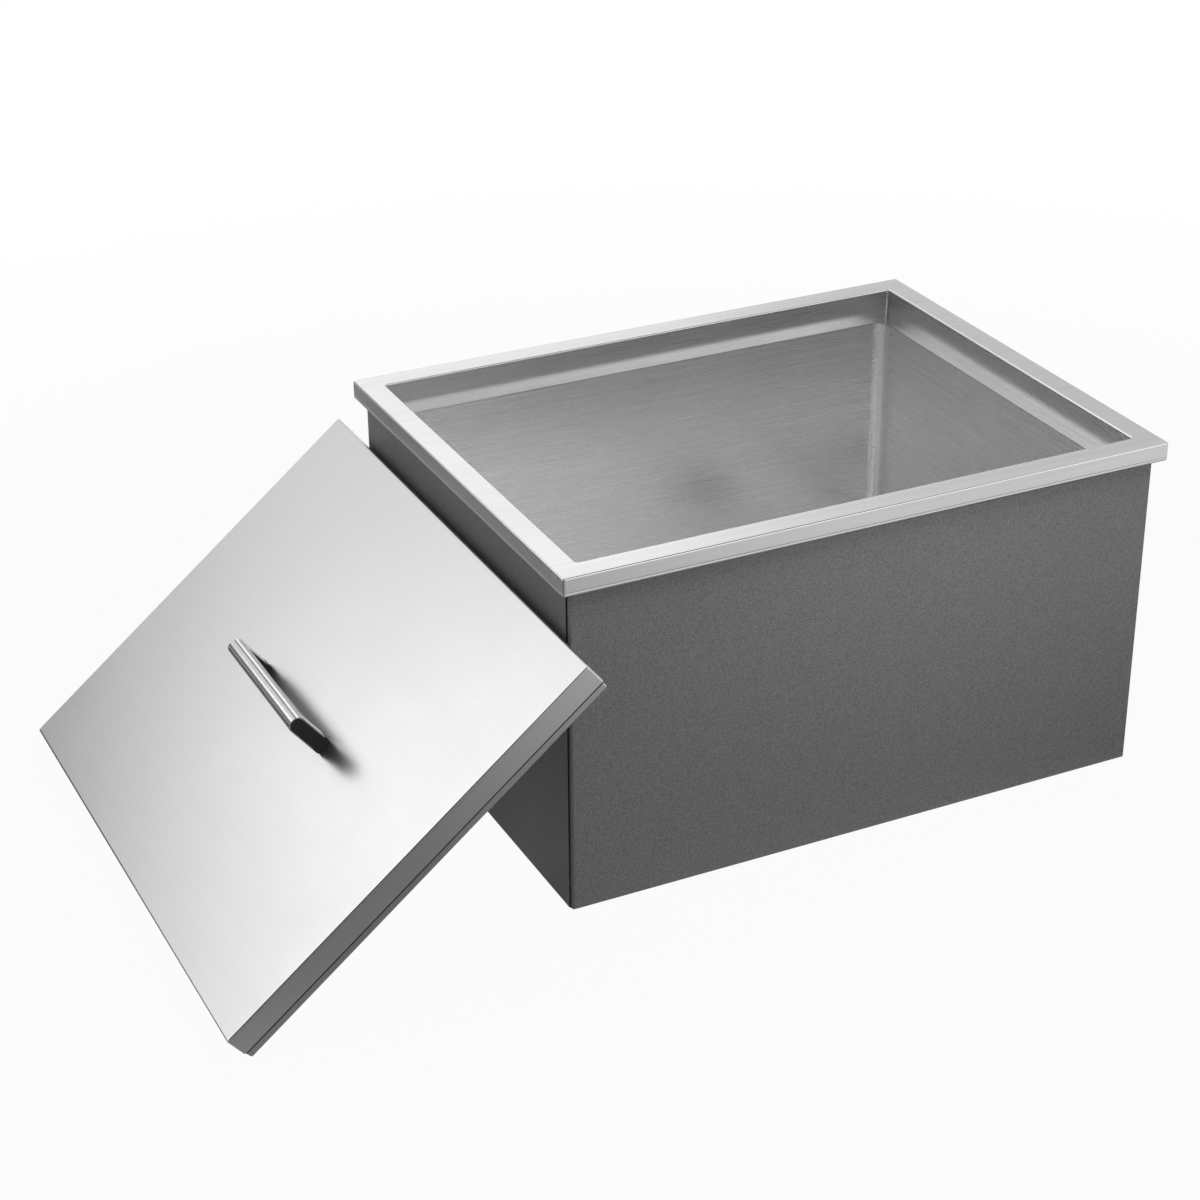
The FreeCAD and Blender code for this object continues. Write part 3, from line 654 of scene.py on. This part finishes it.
hem_sizes = {
    "Length": rim_high.x - rim_low.x - 2 * HEM_HALF_THICKNESS,
    "Width": rim_high.y - rim_low.y - 2 * HEM_HALF_THICKNESS,
    "Corner radius": RIM_CORNER_RADIUS - HEM_HALF_THICKNESS,
    "Half thickness": HEM_HALF_THICKNESS,
    "Half height": HEM_HALF_HEIGHT,
    "Place": (0.0, 0.0, SKIRT_Z - HEM_DROP + HEM_HALF_HEIGHT),
}
hem_tree = skirt_hem(nodes["rim_frame"].active_material)
grow("skirt_hem", hem_tree, hem_sizes, "bin")

thread_sizes = {
    "Turns": THREAD_TURNS,
    "Radius": OUTLET_RADIUS,
    "Height": THREAD_LENGTH,
    "Ridge": THREAD_RIDGE,
    "Place": (DRAIN_X, 0.0, socket_low.z + THREAD_START),
}
thread_tree = outlet_thread(nodes["drain_socket"].active_material)
grow("outlet_thread", thread_tree, thread_sizes, "bin")

rib_sizes = {
    "Count": RIB_COUNT,
    "Radius": KNOB_RADIUS,
    "Half length": RIB_HALF_LENGTH,
    "Thickness": RIB_THICKNESS,
    "Place": (DRAIN_X, 0.0, knob_high.z - GRIP_DROP),
}
rib_tree = knob_ribs(nodes["stopper_knob"].active_material)
grow("knob_ribs", rib_tree, rib_sizes, "stopper")


# Studio

def seen_share(tree):
    """One for rays from the camera, a mirror or glass, and nothing for the rest."""
    rays = put(tree, "ShaderNodeLightPath").outputs
    mirrored = work_out(tree, "MAXIMUM", rays["Is Camera Ray"], rays["Is Glossy Ray"])
    return work_out(tree, "MAXIMUM", mirrored, rays["Is Transmission Ray"])


def studio_world(level):
    """White surroundings, at a plain level as a light."""
    world = bpy.data.worlds.new("studio")
    bpy.context.scene.world = world
    world.use_nodes = True
    tree = world.node_tree
    sky = tree.nodes["Background"]
    sky.inputs["Color"].default_value = grey(1.0)
    tree.links.new(spread(tree, seen_share(tree), 0.0, 1.0, level, 1.0), sky.inputs["Strength"])


def new_paint(name):
    """A material with no shader yet, and its tree."""
    made = bpy.data.materials.new(name)
    made.use_nodes = True
    made.node_tree.nodes.remove(made.node_tree.nodes["Principled BSDF"])
    return made, made.node_tree


def glow_over(tree, share, under, level):
    """End a paint in a white glow that covers what is under it by a share."""
    glow = put(tree, "ShaderNodeEmission", {"Color": grey(1.0), "Strength": level})
    mixed = put(tree, "ShaderNodeMixShader", {0: share, 1: under.outputs[0], 2: glow.outputs[0]})
    tree.links.new(mixed.outputs[0], tree.nodes["Material Output"].inputs["Surface"])


def flat_sheet(name, half_width, half_height, paint):
    """A flat rectangle about the origin, in its paint."""
    x, y = half_width, half_height
    mesh = bpy.data.meshes.new(name)
    mesh.from_pydata([(-x, -y, 0.0), (x, -y, 0.0), (x, y, 0.0), (-x, y, 0.0)], [], [(0, 1, 2, 3)])
    mesh.materials.append(paint)
    return new_object(name, mesh)


def turn_to(made, place, aim, axis):
    """Put an object in its place, with one of its axes towards an aim."""
    made.location = place
    made.rotation_euler = (Vector(aim) - Vector(place)).to_track_quat(axis, "Y").to_euler()


def studio_floor(half_size, fade_from, fade_to, base_share):
    """Pale floor that keeps the object's soft shadow and fades to white further out."""
    paint, tree = new_paint("floor_paper")
    share = spread(tree, length(tree, object_place(tree)), fade_from, fade_to, base_share, 1.0)
    paper = put(tree, "ShaderNodeBsdfDiffuse", {"Color": grey(PAPER_SHADE)})
    glow_over(tree, both(tree, share, seen_share(tree)), paper, 1.0)
    floor = flat_sheet("floor", half_size, half_size, paint)


def softbox(name, place, aim, size, brightness, mirrored=True):
    """A large soft lamp, by the brightness of its face; shiny pieces may mirror it or not."""
    lamp = bpy.data.lights.new(name, "AREA")
    lamp.shape = "RECTANGLE"
    lamp.size, lamp.size_y = size
    lamp.energy = brightness * math.pi * lamp.size * lamp.size_y
    made = new_object(name, lamp)
    turn_to(made, place, aim, "-Z")
    made.visible_camera = False
    made.visible_glossy = mirrored


def fill(name, place, aim, size, brightness):
    """A soft lamp that shiny pieces don't mirror, for the coated and moulded ones."""
    softbox(name, place, aim, size, brightness, mirrored=False)


def card(name, place, aim, size, level, firm=0.35):
    """A card with soft edges that only shiny pieces see, to give their reflections shape."""
    half_width, half_height = size[0] / 2, size[1] / 2
    paint, tree = new_paint(name)
    inputs = {0: object_place(tree), 1: (1 / half_width, 1 / half_height, 0.0)}
    spot = put(tree, "ShaderNodeVectorMath", inputs, operation="MULTIPLY").outputs[0]
    share = spread(tree, length(tree, spot), firm, 1.0, 1.0, 0.0)
    glow_over(tree, share, put(tree, "ShaderNodeBsdfTransparent"), level)
    made = flat_sheet(name, half_width, half_height, paint)
    turn_to(made, place, aim, "Z")
    made.visible_camera = False
    made.visible_diffuse = False
    made.visible_shadow = False


def painted_floor_shadow(name, x, y, lift, size, level, firm=0.35):
    """A card that lies face up, just above the floor: a painted shadow on the floor that only shiny pieces see."""
    card(name, (x, y, lift), (x, y, 1.0), size, level, firm)


studio_world(WORLD_LEVEL)
studio_floor(half_size=40.0, fade_from=0.7, fade_to=1.6, base_share=0.955)

softbox("left softbox", (-2.4, 2.2, 1.75), (-0.4, 0.0, 0.2), size=(1.7, 1.5), brightness=1.1)
softbox("back softbox", (0.5, 2.2, 1.7), (0.0, 0.0, 0.3), size=(1.4, 1.5), brightness=0.6)
softbox("front softbox", (0.8, -2.2, 1.4), (0.0, 0.0, 0.25), size=(2.2, 0.9), brightness=1.0)

fill("front fill", (0.08, -0.6, 0.37), (0.08, -0.2, 0.17), size=(0.3, 0.3), brightness=2.3)
fill("overhead fill", (0.06, -0.66, 1.6), (0.06, -0.25, 0.2), size=(0.7, 0.7), brightness=8.0)
fill("left fill", (-2.6, 0.2, 2.0), (-0.28, 0.0, 0.25), size=(1.2, 1.2), brightness=5.2)
fill("back fill", (1.7, 1.7, 1.7), (0.0, 0.0, 0.15), size=(1.3, 1.3), brightness=3.0)
fill("top fill", (1.1, 0.3, 2.4), (0.0, 0.0, 0.3), size=(1.2, 1.2), brightness=1.0)

card("low back card", (-1.45, 2.0, 0.3), (-0.4, 0.0, 0.2), size=(2.6, 1.5), level=0.2, firm=0.4)
card("low right card", (0.75, 1.9, 0.5), (-0.4, 0.0, 0.25), size=(1.5, 1.0), level=0.5, firm=0.6)
card("overhead card", (0.95, -0.5, 2.2), (0.0, -0.2, 0.3), size=(1.2, 1.2), level=0.03, firm=0.6)
card("middle back card", (-0.22, 2.0, 1.58), (-0.45, 0.0, 0.19), size=(0.6, 1.0), level=0.1, firm=0.4)
card("right back card", (2.0, 2.0, 1.3), (0.2, 0.0, 0.3), size=(1.5, 1.6), level=0.7)
card("front dark card", (0.0, -1.6, 2.35), (0.0, 0.0, 0.3), size=(3.2, 1.4), level=0.03, firm=0.7)
card("low front card", (-0.75, -1.7, 0.3), (-0.43, -0.28, 0.13), size=(1.3, 0.9), level=0.05, firm=0.7)
card("left dark card", (-1.9, -0.95, 1.25), (-0.45, -0.28, 0.1), size=(3.0, 1.8), level=0.03, firm=0.75)

# Painted shadow: dark cards on the floor where it lies in the bin's and lid's shade, seen only by shiny pieces
# Each lies at a height of its own, because two in one plane would flicker where they overlap
painted_floor_shadow("near floor shadow card", 0.1, -0.36, lift=0.0015, size=(0.8, 0.4), level=0.1, firm=0.4)
painted_floor_shadow("right floor shadow card", 0.42, -0.3, lift=0.002, size=(0.7, 0.34), level=0.02, firm=0.6)
painted_floor_shadow("front floor shadow card", -0.57, -0.62, lift=0.001, size=(1.65, 1.4), level=0.22)
painted_floor_shadow("left floor shadow card", -0.8, 0.45, lift=0.0005, size=(1.6, 1.8), level=0.14, firm=0.5)

# Camera at the photograph's viewing angle
camera = bpy.data.cameras.new("camera")
camera.lens = CAMERA_LENS
camera.sensor_width = CAMERA_SENSOR
viewpoint = new_object("camera", camera)
viewpoint.location = CAMERA_PLACE
viewpoint.rotation_euler = [math.radians(turn) for turn in CAMERA_TURNS]
bpy.context.scene.camera = viewpoint
bpy.context.scene.view_settings.view_transform = "Standard"
